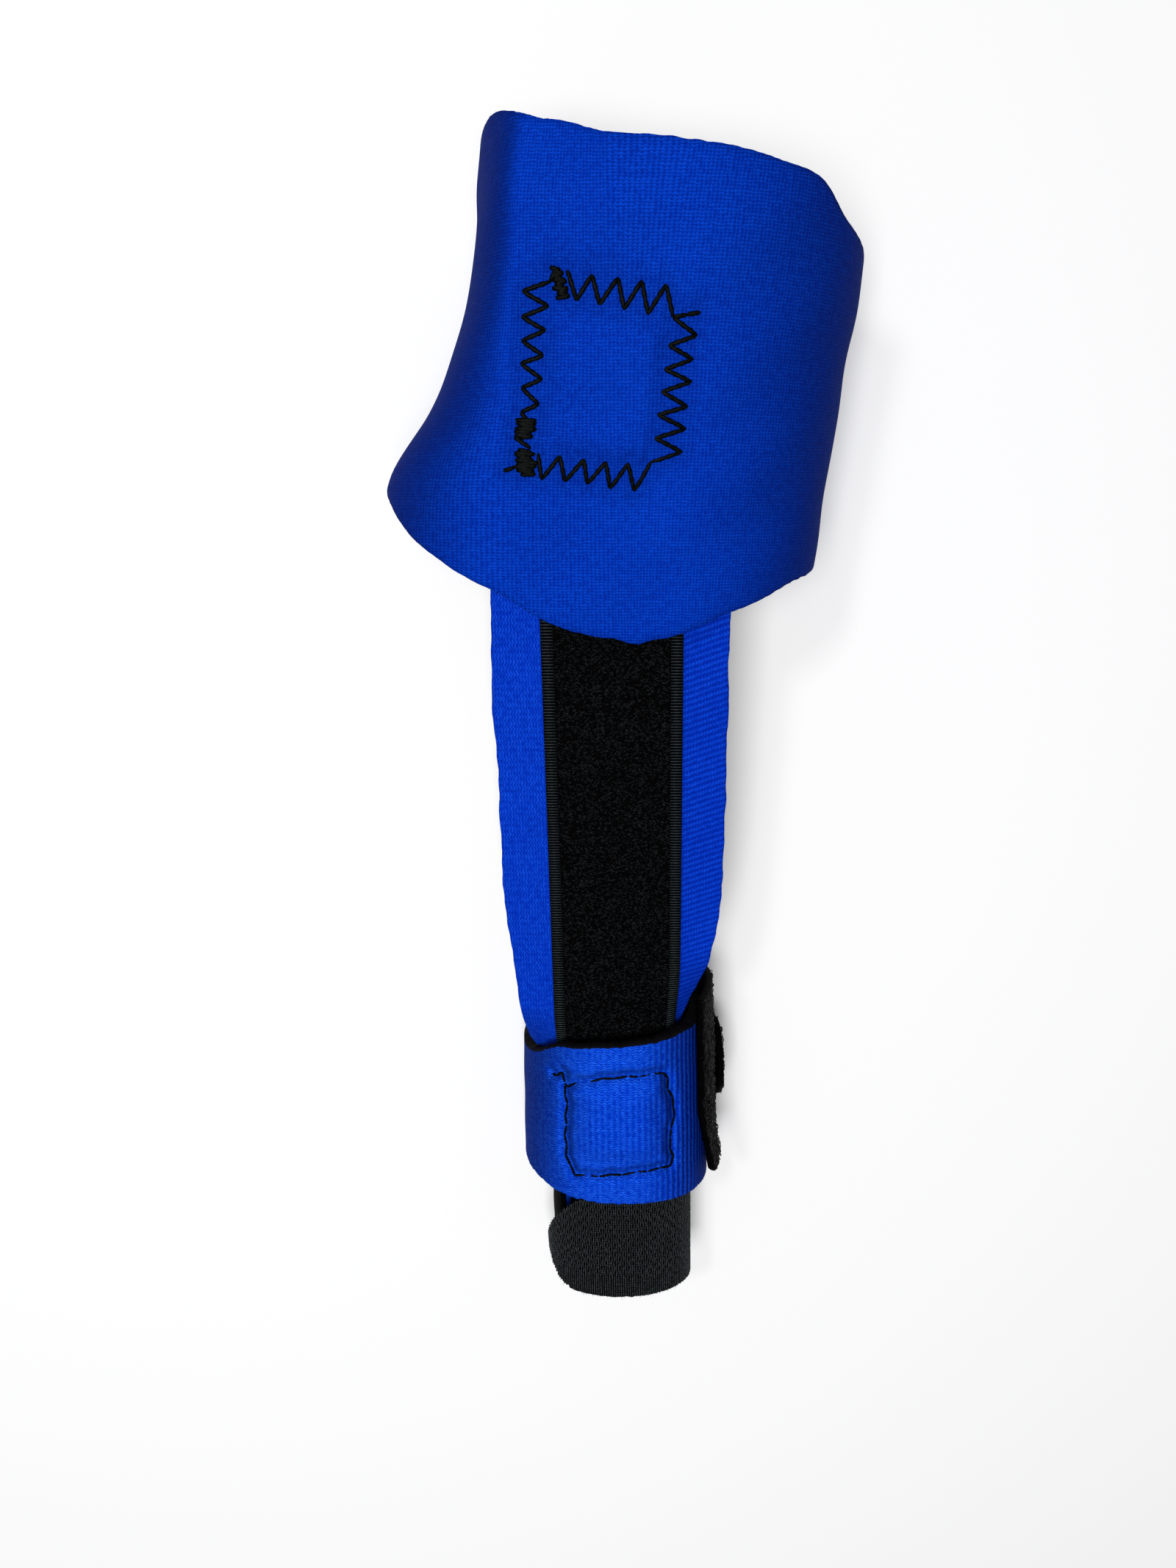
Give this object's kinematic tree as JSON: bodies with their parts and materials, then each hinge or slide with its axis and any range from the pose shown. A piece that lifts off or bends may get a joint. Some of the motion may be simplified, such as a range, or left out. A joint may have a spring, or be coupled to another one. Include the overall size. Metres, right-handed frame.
{
  "type": "hand and finger splint",
  "caption": "Soft splint for the wrist and one finger: a wrist wrap, a strip down the back of the hand, a finger sleeve over a padded trough and a band round the fingertip.",
  "frame": {"origin": "a point in the middle of the flat palm face on which the wrist wrap rests", "axes": "+Y along the hand towards the forearm, +Z away from the palm, +X towards the little-finger side of a left hand"},
  "size_m": [0.0842, 0.2284, 0.0567],
  "materials": {
    "wrap_neoprene": "blue knit jersey on black foam",
    "strip_neoprene": "blue knit jersey on black foam",
    "sleeve_neoprene": "blue ribbed knit on black foam",
    "loop_tape": "black loop pile with ribbed selvedges",
    "hook_tape": "black woven hook tape",
    "woven_tape": "black ribbed weave",
    "loop_panel": "black coarse loop pile",
    "trough_foam": "matte black foam rubber",
    "thread": "dark sewing thread"
  },
  "bodies": {
    "root": {"wrist_wrap": "wrap_neoprene", "palm_hook_tab": "hook_tape", "hand_strip": "strip_neoprene", "hand_loop_tape": "loop_tape", "wrist_hook_patch": "hook_tape", "finger_hook_patch": "hook_tape", "finger_sleeve": "sleeve_neoprene", "finger_trough": "trough_foam", "trough_loop_tape": "loop_tape", "tip_band": "woven_tape", "sleeve_loop_panel": "loop_panel", "closure_tab": "loop_panel"}
  },
  "joints": []
}
